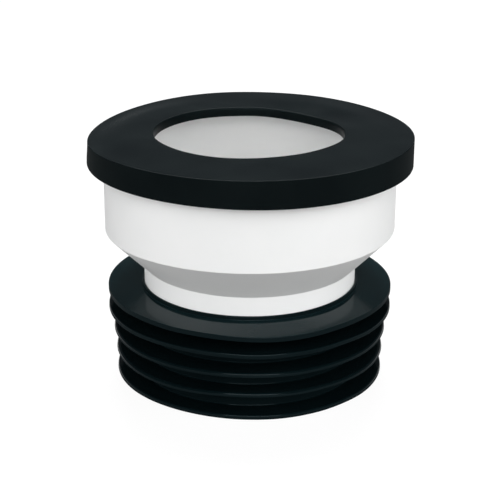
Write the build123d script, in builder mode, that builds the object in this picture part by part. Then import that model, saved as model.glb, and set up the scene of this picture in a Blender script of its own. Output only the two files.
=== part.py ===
"""A straight toilet pan connector, in millimetres, standing on its outlet end at Z = 0.

A white moulded body joins a wide socket to a narrower spigot. A black rubber ring snaps over
the socket's rim and seals round the pan's outlet. A black finned rubber sleeve is held on the
spigot by a ridge and seals in the soil pipe. Every piece is turned about the Z axis.
"""
import os

from build123d import *

# Body: one moulding of even wall
socket_diameter = 121.9
spigot_diameter = 90.0
body_wall = 3.0
socket_length = 35.5  # from the shoulder to the top of the rim
cone_height = 16.4  # from the neck to the shoulder
neck_length = 7.8  # bare spigot between the outlet seal and the cone
spigot_setback = 1.0  # the spigot ends this far above the outlet seal's foot
rim_width = 3.2  # the bead round the socket's mouth stands out this far
rim_height = 4.4
ridge_width = 1.2  # the ridge on the spigot stands out this far
ridge_height = 3.0

# Inlet seal: a ring with a flat lip, hooked under the rim
inlet_hole_diameter = 77.6
lip_thickness = 3.9
skirt_wall = 3.5  # rubber outside the rim
skirt_return = 3.4  # rubber below the rim
ring_edge = 0.7  # bevel round the ring's top
hole_edge = 0.4  # bevel round the hole

# Outlet seal: a sleeve with a collar, a flange and a row of fins
sleeve_wall = 2.5
collar_wall = 0.9
collar_height = 1.85
flange_reach = 12.7  # from the sleeve to the flange's edge
flange_thickness = 2.0
flange_gap = 6.2  # between the flange and the first fin
fin_reaches = (9.55, 9.8, 10.65, 12.7)  # from the foot up: the sleeve leads in narrow
fin_pitch = 9.5
fin_thickness = 1.8
fin_edge = 0.3  # bevel on the upper edge of each tip

# Rubber is drawn this far off the moulding's round faces
seal_clearance = 0.05

# Radii
socket_radius = socket_diameter / 2
spigot_radius = spigot_diameter / 2
rim_radius = socket_radius + rim_width
ridge_radius = spigot_radius + ridge_width
inlet_hole_radius = inlet_hole_diameter / 2
ring_bore_radius = socket_radius + seal_clearance
rim_groove_radius = rim_radius + seal_clearance
ring_radius = rim_groove_radius + skirt_wall
sleeve_bore_radius = spigot_radius + seal_clearance
ridge_groove_radius = ridge_radius + seal_clearance
sleeve_radius = sleeve_bore_radius + sleeve_wall

# Heights
fin_tops = [index * fin_pitch + fin_thickness for index in range(len(fin_reaches))]
flange_foot = fin_tops[-1] + flange_gap
flange_top = flange_foot + flange_thickness
ridge_middle = flange_top / 2
collar_top = flange_top + collar_height
neck_top = collar_top + neck_length
shoulder = neck_top + cone_height
rim_top = shoulder + socket_length
rim_foot = rim_top - rim_height
ring_top = rim_top + lip_thickness
ring_foot = rim_foot - skirt_return

with BuildPart() as body:
    with BuildSketch(Plane.XZ):
        # The outside of the wall, from the spigot's end up to the rim, thickened inwards
        with BuildLine():
            Polyline(
                (spigot_radius, spigot_setback),
                (spigot_radius, neck_top),
                (socket_radius, shoulder),
                (socket_radius, rim_top),
            )
            offset(amount=body_wall, side=Side.LEFT, kind=Kind.INTERSECTION)
        make_face()
        with Locations((socket_radius, rim_top)):
            Rectangle(rim_width, rim_height, align=(Align.MIN, Align.MAX))
        with Locations((spigot_radius, ridge_middle)):
            Rectangle(ridge_width, ridge_height, align=(Align.MIN, Align.CENTER))
    revolve(axis=Axis.Z)
body.part.label = "body"

with BuildPart() as inlet_seal:
    with BuildSketch(Plane.XZ) as ring_section:
        with BuildLine():
            Polyline(
                (inlet_hole_radius, rim_top),
                (inlet_hole_radius, ring_top),
                (ring_radius, ring_top),
                (ring_radius, ring_foot),
                (ring_bore_radius, ring_foot),
                (ring_bore_radius, rim_foot),
                (rim_groove_radius, rim_foot),
                (rim_groove_radius, rim_top),
                close=True,
            )
        make_face()
        chamfer(ring_section.vertices().group_by(Axis.Y)[-1].sort_by(Axis.X)[-1], length=ring_edge)
        chamfer(ring_section.vertices().group_by(Axis.Y)[-1].sort_by(Axis.X)[0], length=hole_edge)
    revolve(axis=Axis.Z)
inlet_seal.part.label = "inlet_seal"

with BuildPart() as outlet_seal:
    with BuildSketch(Plane.XZ) as fin_section:
        with Locations((sleeve_bore_radius, 0)):
            Rectangle(sleeve_wall, flange_top, align=(Align.MIN, Align.MIN))
            Rectangle(collar_wall, collar_top, align=(Align.MIN, Align.MIN))
        with Locations((sleeve_bore_radius, flange_top)):
            Rectangle(sleeve_wall + flange_reach, flange_thickness, align=(Align.MIN, Align.MAX))
        for fin_top, fin_reach in zip(fin_tops, fin_reaches):
            with Locations((sleeve_bore_radius, fin_top)):
                Rectangle(sleeve_wall + fin_reach, fin_thickness, align=(Align.MIN, Align.MAX))
        with Locations((sleeve_bore_radius, ridge_middle)):
            Rectangle(
                ridge_groove_radius - sleeve_bore_radius,
                ridge_height,
                align=(Align.MIN, Align.CENTER),
                mode=Mode.SUBTRACT,
            )
        tips = fin_section.vertices().filter_by(lambda corner: corner.X > sleeve_radius + fin_edge)
        upper_tips = tips.sort_by(Axis.Y)[1::2]  # each disc has a lower corner, then an upper one
        chamfer(upper_tips, length=fin_edge)
    revolve(axis=Axis.Z)
outlet_seal.part.label = "outlet_seal"

os.makedirs("parts", exist_ok=True)
export_step(body.part, "parts/body.step")
export_step(inlet_seal.part, "parts/inlet_seal.step")
export_step(outlet_seal.part, "parts/outlet_seal.step")
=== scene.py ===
"""The look of a straight toilet pan connector: a white moulded body between two black rubber seals.

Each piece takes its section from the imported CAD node, rounds its corners and turns it about Z.
The pieces are then eased a little out of true, as the photographed ones are.
"""
import math

import bmesh
import bpy
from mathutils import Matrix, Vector


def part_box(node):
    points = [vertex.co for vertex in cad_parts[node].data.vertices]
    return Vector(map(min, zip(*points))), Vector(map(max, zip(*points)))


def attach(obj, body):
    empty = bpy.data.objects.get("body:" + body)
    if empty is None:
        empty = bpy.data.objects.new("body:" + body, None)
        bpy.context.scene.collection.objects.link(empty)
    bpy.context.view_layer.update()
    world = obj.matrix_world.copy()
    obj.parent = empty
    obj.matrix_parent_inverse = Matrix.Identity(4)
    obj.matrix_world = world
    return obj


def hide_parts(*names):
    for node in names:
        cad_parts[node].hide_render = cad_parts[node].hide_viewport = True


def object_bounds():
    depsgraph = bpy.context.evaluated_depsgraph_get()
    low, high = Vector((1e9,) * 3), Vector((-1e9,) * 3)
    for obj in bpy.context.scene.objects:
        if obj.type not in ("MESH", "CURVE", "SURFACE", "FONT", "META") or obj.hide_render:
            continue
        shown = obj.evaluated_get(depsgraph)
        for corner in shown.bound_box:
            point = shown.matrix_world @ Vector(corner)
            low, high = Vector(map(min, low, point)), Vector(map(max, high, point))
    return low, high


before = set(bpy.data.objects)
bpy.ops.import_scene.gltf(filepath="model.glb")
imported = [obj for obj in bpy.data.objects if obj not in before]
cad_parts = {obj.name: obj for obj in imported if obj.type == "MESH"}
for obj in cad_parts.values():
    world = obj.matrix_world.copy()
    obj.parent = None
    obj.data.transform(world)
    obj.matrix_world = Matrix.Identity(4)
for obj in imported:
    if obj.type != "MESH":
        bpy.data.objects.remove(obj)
cad_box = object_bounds()

MM = 0.001

# Camera, fitted to the photograph's edges
CAMERA_PLACE = (0.0, -0.5762, 0.2660)
CAMERA_PITCH = 20.40  # degrees below the horizon
CAMERA_ROLL = 0.26
CAMERA_LENS = 103.9
CAMERA_SHIFT = 0.0005

# Sections, as cut from the nodes
ON_PLANE = 0.001 * MM
STRAIGHT = math.radians(1.0)  # corners that turn by less are left out
WIDEST_BEVEL = 1.2 * MM  # shorter slanting sides are bevels, which are rounded over
BEVEL_EVENNESS = 0.9  # the least share of a bevel's longer leg that its shorter leg has
LONGEST_SIDE = 2.5 * MM  # longer sides are divided, so that they can bend

# Corners, as moulded: one reach, or how far a rounding reaches along an upright and a flat side
PLASTIC_CORNER = 0.5 * MM
RUBBER_CORNER = 0.4 * MM
HOLE_EDGE = (2.4 * MM, 0.8 * MM)
DISC_EDGES = (
    (1.3 * MM, 0.7 * MM),  # foot
    (1.65 * MM, 1.4 * MM),
    (1.65 * MM, 1.1 * MM),
    (0.9 * MM, 0.45 * MM),
    (0.2 * MM, 0.2 * MM),  # flange
)
DISC_UNDER_EDGE = 0.15 * MM
DISC_ROOT = 0.6 * MM
CORNER_STEPS = 5

# Segments round the axis
BODY_TURN = 360
RING_TURN = 400
FIN_TURN = 360
NORMAL_WEIGHT = 100  # smooth shading follows the largest faces

# How the pieces stand out of true: rows of azimuth, half-width in degrees, and lift or outward shift.
# Azimuth 0 is the camera's side, 90 the right.
NECK_SHIFT = -0.12 * MM  # all round
NECK_HEIGHT = 52.0 * MM  # the neck's shift fades out up to this height
NECK_FADE = 4.0 * MM
SHOULDER_LIFTS = ((-75, 65, -0.75 * MM),)
SHOULDER_HEIGHT = 64.55 * MM
SHOULDER_REACH = 16.0 * MM
RIM_LIFTS = ((-104, 70, -2.25 * MM), (150, 80, -0.2 * MM), (112, 50, -0.6 * MM))
RIM_SHIFTS = ((-95, 35, -0.7 * MM),)
RIM_BEND = 52.0 * MM  # the ring bends outside this radius, and its lip inside the next
LIP_BEND = 57.0 * MM
LIP_LIFTS = ((138, 45, -1.1 * MM),)
HOLE_SHIFTS = (
    (25, 50, -1.9 * MM),
    (-140, 40, 1.2 * MM),
    (-88, 36, 1.0 * MM),
    (0, 75, -0.4 * MM),
    (55, 30, -0.7 * MM),
    (-112, 26, 0.65 * MM),
)
SKIRT_LIFTS = ((-40, 60, 0.45 * MM), (-15, 60, 0.2 * MM), (90, 45, -0.45 * MM))
COLLAR_LIFTS = ((60, 50, 0.2 * MM),)
FLANGE_RISE = 0.15 * MM  # the flange's root stands this far above its edge
DISC_LIFTS = (
    ((-10, 90, 0.3 * MM), (-32, 40, 0.7 * MM), (14, 15, -0.24 * MM), (43, 16, 0.4 * MM)),  # foot
    ((5, 100, 0.75 * MM), (-8, 24, 0.65 * MM), (36, 22, 0.35 * MM)),
    ((-18, 45, 0.5 * MM), (36, 22, 0.3 * MM)),
    ((-30, 34, 0.6 * MM), (6, 16, -0.3 * MM), (40, 18, 0.45 * MM)),
    ((12, 36, -1.2 * MM), (-45, 16, 0.3 * MM), (-120, 60, 0.3 * MM)),  # flange
)
DISC_GAP = 3.0 * MM  # discs are further apart than this
DISC_REACH = 5.0 * MM  # and stand out from the sleeve by more than this
DISC_MARGIN = 0.9 * MM  # what lies this near a disc moves with it
SLEEVE_RADIUS = 47.55 * MM
ON_SLEEVE = 0.1 * MM

# Floor: white to the camera and in reflections, and darker to the lamps, so that it throws back little
FLOOR_ALBEDO = 0.08
FLOOR_GLOW = 0.93
FLOOR_REACH = 4.0

# Lamps: azimuth and elevation in degrees, width and height in metres, and power in watts
LAMP_DISTANCE = 1.2
LAMPS = {
    "key": (0, 19, 1.2, 0.5, 6.6),
    "fill": (0, 36, 0.5, 0.5, 2.5),
    "shine": (3, 33, 0.9, 0.3, 9.0),
    "left": (-66, 10, 0.8, 0.8, 5.5),
    "left_high": (-60, 40, 0.6, 0.6, 1.7),
    "right": (74, 10, 0.8, 0.8, 7.8),
    "right_high": (60, 40, 0.6, 0.6, 2.0),
    "back": (180, 45, 0.6, 0.6, 5.0),
    "back_high": (180, 68, 0.6, 0.6, 21.0),
}
MIRRORED_LAMPS = ("shine", "back", "back_high")  # the others light without showing in the gloss
GLOSS_LAMPS = ("shine",)  # shows in the gloss alone

# Room
ROOM_COLOUR = (0.94, 1.0, 1.05, 1)
HORIZON_LEVEL = 0.135
SKY_LEVEL = 0.055
HORIZON_TO_SKY = (0.28, 0.6)  # sines of the elevations between which the horizon fades into the sky

# Textures: scale and detail of a noise, strength and distance of a bump
NOISE_SPAN = (0.3, 0.7)  # the middle range of a noise, which is mapped to colours
MOTTLE_NOISE = (35.0, 4.0)
PEEL_NOISE = (700.0, 3.0)
PEEL_BUMP = (0.05, 0.1 * MM)
BLOOM_NOISE = (45.0, 5.0)
RIPPLE_NOISE = (100.0, 2.0)
RIPPLE_BUMP = (0.4, 0.1 * MM)
GRAIN_NOISE = (1500.0, 2.0)
GRAIN_BUMP = (0.1, 0.1 * MM)

# Plastic
PLASTIC_COLOURS = ((0.895, 0.90, 0.895, 1), (0.92, 0.92, 0.915, 1))
PLASTIC_ROUGHNESS = (0.50, 0.60)
PLASTIC_SPECULAR = 0.2

# Rubber
SIDE_ROUGHNESS = 0.75
UNEVEN_ROUGHNESS = 0.04
HOLE_ROUGHNESS = 0.32
INWARD = (-30.0 * MM, -10.0 * MM)  # radius times the normal's outward part, less than these in the hole
RUBBER_TINT = (0.75, 0.94, 1.0, 1)
RING_RUBBER = {
    "polish": (0.9, 0.99),  # upward parts of the normal between which the rubber gets its top's gloss
    "top_roughness": 0.13,
    "specular": 0.03,
    "colours": ((0.0028, 0.0045, 0.0050, 1), (0.0044, 0.0068, 0.0072, 1)),
    "painted_sheen": (0.0001, 0.0001, 0.0003, 1),  # a painted sheen: lightens the flats as their reflection would, and adds to the colour below
}
FIN_RUBBER = {
    "polish": (0.1, 0.44),
    "top_roughness": 0.09,
    "specular": 0.085,
    "colours": ((0.0016, 0.0048, 0.0058, 1), (0.0026, 0.0064, 0.0074, 1)),
    # painted reflection: lightens the flange's top teal, as the white neck's reflection would
    "painted_sheen": (0.003, 0.008, 0.009, 1),
}
SHEEN_UPWARD = (0.3, 0.9)  # upward parts of the normal between which the painted sheen starts to show
SHEEN_HEIGHTS = (33.0 * MM, 36.0 * MM)  # the fins lie below these, in shade, and get no painted sheen


def section(node):
    """The closed outline of a turned CAD node, as (radius, height) corners in order, cut at y = 0."""
    cut = bmesh.new()
    cut.from_mesh(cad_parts[node].data)
    bmesh.ops.remove_doubles(cut, verts=cut.verts, dist=ON_PLANE)
    whole = cut.verts[:] + cut.edges[:] + cut.faces[:]
    bmesh.ops.bisect_plane(cut, geom=whole, dist=ON_PLANE, plane_co=(0, 0, 0), plane_no=(0, 1, 0))
    beside = {}
    for edge in cut.edges:
        if all(abs(v.co.y) < ON_PLANE and v.co.x > 0 for v in edge.verts):
            beside.setdefault(edge.verts[0], []).append(edge.verts[1])
            beside.setdefault(edge.verts[1], []).append(edge.verts[0])
    start = next(iter(beside))
    loop = [start, beside[start][0]]
    while True:
        onward = [v for v in beside[loop[-1]] if v is not loop[-2]]
        if onward[0] is start:
            break
        loop.append(onward[0])
    outline = [Vector((v.co.x, v.co.z)) for v in loop]
    cut.free()
    corners = zip(outline[-1:] + outline[:-1], outline, outline[1:] + outline[:1])
    return [at for before, at, after in corners if (at - before).angle(after - at) > STRAIGHT]


def is_bevel(at, after):
    """Whether a side is short and slants at about 45 degrees."""
    side = after - at
    legs = sorted((abs(side.x), abs(side.y)))
    return legs[0] > BEVEL_EVENNESS * legs[1] and side.length < WIDEST_BEVEL


def sharpened(outline):
    """The outline with each bevel, a short side that turns by 45 degrees at both ends, made one corner."""
    count = len(outline)
    points = []
    for index, at in enumerate(outline):
        before = outline[index - 1]
        after = outline[(index + 1) % count]
        if is_bevel(at, after):
            points.append(at + (at - before).normalized() * (after - at).length / math.sqrt(2))
        elif not is_bevel(before, at):
            points.append(at)
    return points


def rounded(outline, corner):
    """The outline with each corner rounded; corner gives its reach along an upright and a flat side."""
    points = []
    for before, at, after in zip(outline[-1:] + outline[:-1], outline, outline[1:] + outline[:1]):
        sides = (before - at, after - at)
        turn = math.pi - sides[0].angle(sides[1])
        upright, flat = corner(at, sides[0].y + sides[1].y < 0)
        ends = []
        for side in sides:
            reach = upright if abs(side.y) > abs(side.x) else flat
            ends.append(at + side.normalized() * reach * math.tan(turn / 2))
        for step in range(CORNER_STEPS + 1):
            share = step / CORNER_STEPS
            points.append(ends[0].lerp(at, share).lerp(at.lerp(ends[1], share), share))
    return points


def divided(outline):
    """The outline with long sides divided evenly."""
    points = []
    for at, after in zip(outline, outline[1:] + outline[:1]):
        pieces = max(1, math.ceil((after - at).length / LONGEST_SIDE))
        points += [at.lerp(after, step / pieces) for step in range(pieces)]
    return points


def body_corner(at, upper):
    """The reaches of a corner of the body, which are the same everywhere."""
    return PLASTIC_CORNER, PLASTIC_CORNER


def ring_corner(at, upper):
    """The reaches of a corner of the ring, which is rounder at the top of its hole."""
    if upper and at.x < RIM_BEND:
        return HOLE_EDGE
    return RUBBER_CORNER, RUBBER_CORNER


def fin_corner(at, upper):
    """The reaches of a corner of the finned sleeve; the upper edges of the fins' tips are rounder."""
    if abs(at.x - SLEEVE_RADIUS) < ON_SLEEVE:
        return DISC_ROOT, DISC_ROOT
    if at.x < SLEEVE_RADIUS + DISC_REACH:
        return RUBBER_CORNER, RUBBER_CORNER
    if not upper:
        return DISC_UNDER_EDGE, DISC_UNDER_EDGE
    return next(edge for (low, high), edge in zip(discs, DISC_EDGES) if at.y < high + DISC_MARGIN)


def disc_heights(node):
    """The lowest and highest corner of each disc that stands out from the sleeve, from the foot up."""
    heights = sorted(at.y for at in section(node) if at.x > SLEEVE_RADIUS + DISC_REACH)
    ends = [[heights[0], heights[0]]]
    for height in heights[1:]:
        if height - ends[-1][1] > DISC_GAP:
            ends.append([height, height])
        ends[-1][1] = height
    return ends


def smooth(share):
    """A share kept between 0 and 1, with soft ends."""
    share = min(1.0, max(0.0, share))
    return share * share * (3 - 2 * share)


def eased(rows, azimuth):
    """The sum of the rows' amounts at an azimuth; each falls smoothly to nothing at its half-width."""
    total = 0.0
    for centre, width, amount in rows:
        off = abs((azimuth - centre + 180) % 360 - 180)
        if off < width:
            total += amount * (0.5 + 0.5 * math.cos(math.pi * off / width))
    return total


def ease_body(radius, height, azimuth):
    """The shift and lift of the body: its neck is a little slim, and its shoulder low at the left."""
    shift = NECK_SHIFT * smooth((NECK_HEIGHT - height) / NECK_FADE)
    near = smooth(1 - abs(height - SHOULDER_HEIGHT) / SHOULDER_REACH)
    return shift, near * eased(SHOULDER_LIFTS, azimuth)


def ease_ring(radius, height, azimuth):
    """The shift and lift of the ring: its skirt wanders, its rim and lip sag, its hole is out of round."""
    up = smooth((height - ring_low.z) / (ring_high.z - ring_low.z))
    out = smooth((radius - RIM_BEND) / (ring_high.x - RIM_BEND))
    inward = smooth((LIP_BEND - radius) / (LIP_BEND - hole_radius))
    shift = up * out * eased(RIM_SHIFTS, azimuth) + inward * eased(HOLE_SHIFTS, azimuth)
    lift = up * out * eased(RIM_LIFTS, azimuth) + inward * eased(LIP_LIFTS, azimuth)
    return shift, lift + (1 - up) * eased(SKIRT_LIFTS, azimuth)


def ease_fins(radius, height, azimuth):
    """The shift and lift of the sleeve: its discs' edges and its collar wander, and its flange slopes."""
    for (low, high), rows in zip(discs, DISC_LIFTS):
        if low - DISC_MARGIN < height < high + DISC_MARGIN:
            out = max(0.0, radius - SLEEVE_RADIUS) / (fins_high.x - SLEEVE_RADIUS)
            if rows is DISC_LIFTS[-1]:
                return 0.0, FLANGE_RISE * (1 - out) + out * eased(rows, azimuth)
            return 0.0, out * out * eased(rows, azimuth)
    above_discs = height > discs[-1][1]
    return 0.0, eased(COLLAR_LIFTS, azimuth) if above_discs else 0.0


def lathe(name, node, corner, segments, material, ease):
    """A piece turned from a node's section, which stands for that node."""
    outline = divided(rounded(sharpened(section(node)), corner))
    verts = []
    for step in range(segments):
        azimuth = 360 * step / segments
        sideways = math.sin(math.radians(azimuth))
        towards = math.cos(math.radians(azimuth))
        for radius, height in outline:
            shift, lift = ease(radius, height, azimuth)
            verts.append(((radius + shift) * sideways, -(radius + shift) * towards, height + lift))
    count = len(outline)
    faces = []
    for step in range(segments):
        here = step * count
        there = (step + 1) % segments * count
        for index in range(count):
            after = (index + 1) % count
            faces.append((here + index, here + after, there + after, there + index))
    mesh = bpy.data.meshes.new(name)
    mesh.from_pydata(verts, [], faces)
    shape = bmesh.new()
    shape.from_mesh(mesh)
    bmesh.ops.recalc_face_normals(shape, faces=shape.faces)
    shape.to_mesh(mesh)
    shape.free()
    mesh.shade_smooth()
    mesh.materials.append(material)
    piece = bpy.data.objects.new(name, mesh)
    bpy.context.scene.collection.objects.link(piece)
    piece.modifiers.new("even_normals", "WEIGHTED_NORMAL").weight = NORMAL_WEIGHT
    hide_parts(node)
    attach(piece, "root")


def new_material(name):
    """An empty material and its node tree."""
    material = bpy.data.materials.new(name)
    material.use_nodes = True
    material.node_tree.nodes.clear()
    return material, material.node_tree


def feed(tree, socket, value):
    """Sets an input, or links it where the value is another node's output."""
    if isinstance(value, bpy.types.NodeSocket):
        tree.links.new(value, socket)
    else:
        socket.default_value = value


def add(tree, kind, **values):
    """A new node, with its inputs and settings given by name."""
    made = tree.nodes.new(kind)
    for key, value in values.items():
        socket = made.inputs.get(key.replace("_", " "))
        if socket is None:
            setattr(made, key, value)
        else:
            feed(tree, socket, value)
    return made


def operate(tree, kind, operation, first, second):
    """A math node with its two operands."""
    made = add(tree, kind, operation=operation)
    feed(tree, made.inputs[0], first)
    feed(tree, made.inputs[1], second)
    return made


def calculated(tree, operation, first, second):
    """The result of a sum, product or the like of two numbers."""
    return operate(tree, "ShaderNodeMath", operation, first, second).outputs["Value"]


def mapped(tree, value, span, low=0.0, high=1.0):
    """A value mapped from a span to the range from low to high, and kept in it."""
    made = add(tree, "ShaderNodeMapRange", Value=value, To_Min=low, To_Max=high)
    made.inputs["From Min"].default_value = span[0]
    made.inputs["From Max"].default_value = span[1]
    return made.outputs["Result"]


def upward_part(tree, vector):
    """The upward part of a direction, or the height of a place."""
    return add(tree, "ShaderNodeSeparateXYZ", Vector=vector).outputs["Z"]


def noise(tree, place, scale, detail):
    """A noise texture's grey level."""
    return add(tree, "ShaderNodeTexNoise", Vector=place, Scale=scale, Detail=detail).outputs["Fac"]


def bump(tree, height, strength, distance):
    """A node that bumps the surface by a texture."""
    return add(tree, "ShaderNodeBump", Height=height, Strength=strength, Distance=distance)


def ramp(tree, source, low, high):
    """Maps a noise's middle range to colours from low to high."""
    made = add(tree, "ShaderNodeValToRGB", Fac=source)
    for element, position, colour in zip(made.color_ramp.elements, NOISE_SPAN, (low, high)):
        element.position = position
        element.color = colour
    return made.outputs["Color"]


def grey(level):
    """An even grey."""
    return (level, level, level, 1)


def white_plastic():
    """Satin white moulding: faint mottling, a fine orange peel and uneven gloss."""
    material, tree = new_material("white_plastic")
    place = add(tree, "ShaderNodeTexCoord").outputs["Object"]
    mottle = noise(tree, place, *MOTTLE_NOISE)
    peel = noise(tree, place, *PEEL_NOISE)
    shader = add(
        tree,
        "ShaderNodeBsdfPrincipled",
        Base_Color=ramp(tree, mottle, *PLASTIC_COLOURS),
        Roughness=ramp(tree, peel, *map(grey, PLASTIC_ROUGHNESS)),
        Normal=bump(tree, peel, *PEEL_BUMP).outputs["Normal"],
        Specular_IOR_Level=PLASTIC_SPECULAR,
    )
    add(tree, "ShaderNodeOutputMaterial", Surface=shader.outputs["BSDF"])
    return material


def rubber_colour(tree, place, normal, bloom, finish):
    """A cool black with a faint bloom, and a painted sheen on the flats above the fins, which stands in
    for their reflection.
    """
    sheen_above = mapped(tree, upward_part(tree, place), SHEEN_HEIGHTS)
    sheen_share = mapped(tree, upward_part(tree, normal), SHEEN_UPWARD, high=sheen_above)
    bare = ramp(tree, bloom, *finish["colours"])
    # painted sheen: the flats are lightened in colour, as their reflection would light them
    with_sheen = add(tree, "ShaderNodeMixRGB", blend_type="ADD", Fac=sheen_share, Color1=bare, Color2=finish["painted_sheen"])
    return with_sheen.outputs["Color"]


def rubber_roughness(tree, place, normal, bloom, finish):
    """Low on the flats, higher in the ring's hole, highest on the sides, and a little uneven."""
    upward = upward_part(tree, normal)
    outside = mapped(tree, upward, finish["polish"], SIDE_ROUGHNESS, finish["top_roughness"])
    from_axis = operate(tree, "ShaderNodeVectorMath", "MULTIPLY", place, (1, 1, 0)).outputs["Vector"]
    outward = operate(tree, "ShaderNodeVectorMath", "DOT_PRODUCT", normal, from_axis).outputs["Value"]
    worn = mapped(tree, outward, INWARD, HOLE_ROUGHNESS, outside)
    uneven = ramp(tree, bloom, grey(0.0), grey(UNEVEN_ROUGHNESS))
    return calculated(tree, "ADD", worn, uneven)


def black_rubber(name, finish):
    """Black rubber: polished and lightened by a painted sheen on the flats, duller on the sides, rippled
    and finely grained.
    """
    material, tree = new_material(name)
    coordinates = add(tree, "ShaderNodeTexCoord")
    place = coordinates.outputs["Object"]
    normal = coordinates.outputs["Normal"]
    bloom = noise(tree, place, *BLOOM_NOISE)
    ripples = bump(tree, noise(tree, place, *RIPPLE_NOISE), *RIPPLE_BUMP)
    grain = bump(tree, noise(tree, place, *GRAIN_NOISE), *GRAIN_BUMP)
    feed(tree, grain.inputs["Normal"], ripples.outputs["Normal"])
    shader = add(
        tree,
        "ShaderNodeBsdfPrincipled",
        Base_Color=rubber_colour(tree, place, normal, bloom, finish),
        Roughness=rubber_roughness(tree, place, normal, bloom, finish),
        Normal=grain.outputs["Normal"],
        Specular_IOR_Level=finish["specular"],
        Specular_Tint=RUBBER_TINT,
    )
    add(tree, "ShaderNodeOutputMaterial", Surface=shader.outputs["BSDF"])
    return material


def floor_white():
    """A white floor that reads as white to the camera and still takes the object's shadow."""
    material, tree = new_material("floor_white")
    path = add(tree, "ShaderNodeLightPath").outputs
    seen = calculated(tree, "MAXIMUM", path["Is Camera Ray"], path["Is Glossy Ray"])
    shown = calculated(tree, "MAXIMUM", seen, path["Is Transmission Ray"])
    glow = add(tree, "ShaderNodeEmission", Strength=calculated(tree, "MULTIPLY", shown, FLOOR_GLOW))
    matt = add(tree, "ShaderNodeBsdfDiffuse", Color=grey(FLOOR_ALBEDO))
    both = add(tree, "ShaderNodeAddShader")
    feed(tree, both.inputs[0], matt.outputs["BSDF"])
    feed(tree, both.inputs[1], glow.outputs["Emission"])
    add(tree, "ShaderNodeOutputMaterial", Surface=both.outputs["Shader"])
    return material


def white_floor():
    """A level square under the object."""
    mesh = bpy.data.meshes.new("floor")
    corners = [(x * FLOOR_REACH, y * FLOOR_REACH, 0) for x, y in ((-1, -1), (1, -1), (1, 1), (-1, 1))]
    mesh.from_pydata(corners, [], [(0, 1, 2, 3)])
    mesh.materials.append(floor_white())
    floor = bpy.data.objects.new("floor", mesh)
    bpy.context.scene.collection.objects.link(floor)
    return floor


def softbox(name, azimuth, elevation, width, height, power):
    """An area lamp facing the object; azimuth 0 is the camera's side and 90 the right."""
    lamp = bpy.data.lights.new(name, "AREA")
    lamp.shape = "RECTANGLE"
    lamp.size = width
    lamp.size_y = height
    lamp.energy = power
    turn = math.radians(azimuth)
    rise = math.radians(elevation)
    away = Vector((math.sin(turn) * math.cos(rise), -math.cos(turn) * math.cos(rise), math.sin(rise)))
    holder = bpy.data.objects.new(name, lamp)
    holder.location = middle + away * LAMP_DISTANCE
    holder.rotation_euler = away.to_track_quat("Z", "Y").to_euler()
    holder.visible_glossy = name in MIRRORED_LAMPS
    holder.visible_diffuse = name not in GLOSS_LAMPS
    bpy.context.scene.collection.objects.link(holder)


def studio():
    """A dim room, paler at the horizon than overhead."""
    world = bpy.data.worlds.new("studio")
    world.use_nodes = True
    tree = world.node_tree
    direction = add(tree, "ShaderNodeTexCoord").outputs["Generated"]
    level = mapped(tree, upward_part(tree, direction), HORIZON_TO_SKY, HORIZON_LEVEL, SKY_LEVEL)
    room = tree.nodes["Background"]
    room.inputs["Color"].default_value = ROOM_COLOUR
    feed(tree, room.inputs["Strength"], level)
    return world


def photo_camera():
    """A camera at the photograph's place."""
    camera = bpy.data.objects.new("camera", bpy.data.cameras.new("camera"))
    camera.location = CAMERA_PLACE
    camera.rotation_euler = (math.radians(90 - CAMERA_PITCH), 0, 0)
    camera.rotation_euler.rotate_axis("Z", math.radians(CAMERA_ROLL))
    camera.data.lens = CAMERA_LENS
    camera.data.shift_x = CAMERA_SHIFT
    bpy.context.scene.collection.objects.link(camera)
    return camera


# Pieces
ring_low, ring_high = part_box("inlet_seal")
fins_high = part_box("outlet_seal")[1]
hole_radius = min(at.x for at in section("inlet_seal"))
discs = disc_heights("outlet_seal")
plastic = white_plastic()
ring_rubber = black_rubber("ring_rubber", RING_RUBBER)
fin_rubber = black_rubber("fin_rubber", FIN_RUBBER)
lathe("moulded_body", "body", body_corner, BODY_TURN, plastic, ease_body)
lathe("lip_ring", "inlet_seal", ring_corner, RING_TURN, ring_rubber, ease_ring)
lathe("finned_sleeve", "outlet_seal", fin_corner, FIN_TURN, fin_rubber, ease_fins)

# Studio
floor = white_floor()
middle = (cad_box[0] + cad_box[1]) / 2
for lamp_name, lamp_values in LAMPS.items():
    softbox(lamp_name, *lamp_values)
bpy.context.scene.world = studio()
bpy.context.scene.camera = photo_camera()
bpy.context.scene.view_settings.view_transform = "Standard"
